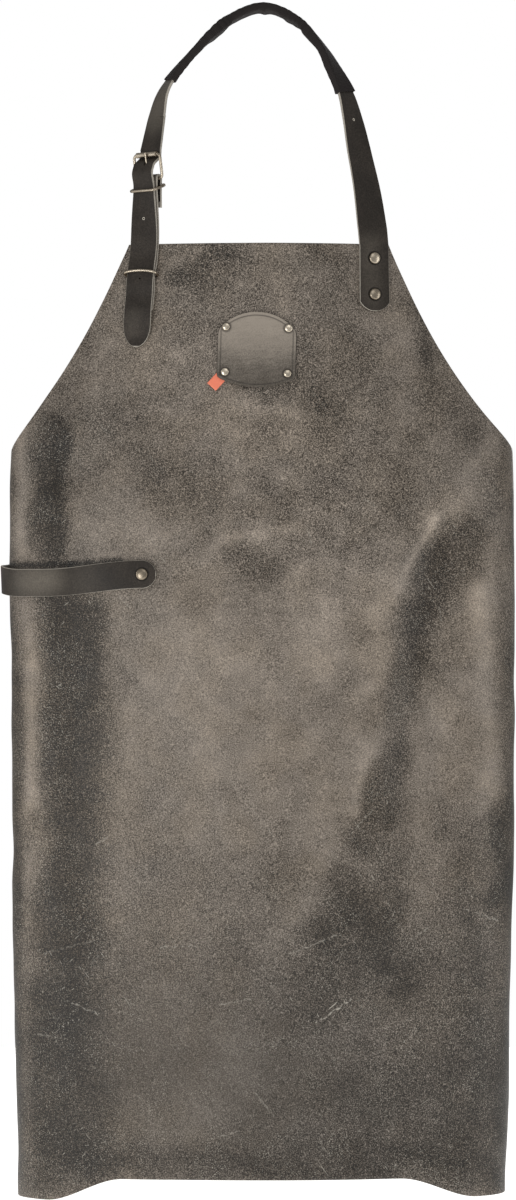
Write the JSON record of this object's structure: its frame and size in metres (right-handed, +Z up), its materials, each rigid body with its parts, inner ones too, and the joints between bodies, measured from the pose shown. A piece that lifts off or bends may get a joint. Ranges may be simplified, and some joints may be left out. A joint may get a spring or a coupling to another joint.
{
  "type": "leather apron",
  "caption": "Full-length leather work apron with a tapering bib, a buckled neck strap with a textile sleeve, a strap loop at its left edge and a riveted patch.",
  "frame": {"origin": "the middle of the neck sleeve's underside at the top of the loop, where it rests on the nape", "axes": "+Z up, -Y out of the apron's front, +X to the right as seen from the front"},
  "size_m": [0.5568, 0.1179, 1.2931],
  "materials": {
    "sheet_leather": "matt grey-brown pull-up leather with pale scuffs",
    "strap_leather": "dark waxed leather with pale raw edges",
    "patch_leather": "grey leather with a low sheen",
    "tab_leather": "matt coral red",
    "sleeve_fabric": "black ribbed textile",
    "buckle_metal": "antique, worn bright on top"
  },
  "bodies": {
    "root": {"apron_body": "sheet_leather", "neck_strap": "strap_leather", "neck_sleeve": "sleeve_fabric", "buckle_strap": "strap_leather", "side_loop": "strap_leather", "patch": "patch_leather", "corner_tab": "tab_leather", "buckle_frame": "buckle_metal", "buckle_roller": "buckle_metal", "buckle_tongue": "buckle_metal", "keeper_upper": "buckle_metal", "keeper_lower": "buckle_metal", "rivet_right_upper": "buckle_metal", "rivet_right_lower": "buckle_metal", "rivet_left_upper": "buckle_metal", "rivet_left_lower": "buckle_metal", "rivet_side_loop": "buckle_metal", "rivet_patch_upper_left": "buckle_metal", "rivet_patch_upper_right": "buckle_metal", "rivet_patch_lower_left": "buckle_metal", "rivet_patch_lower_right": "buckle_metal"}
  },
  "joints": []
}
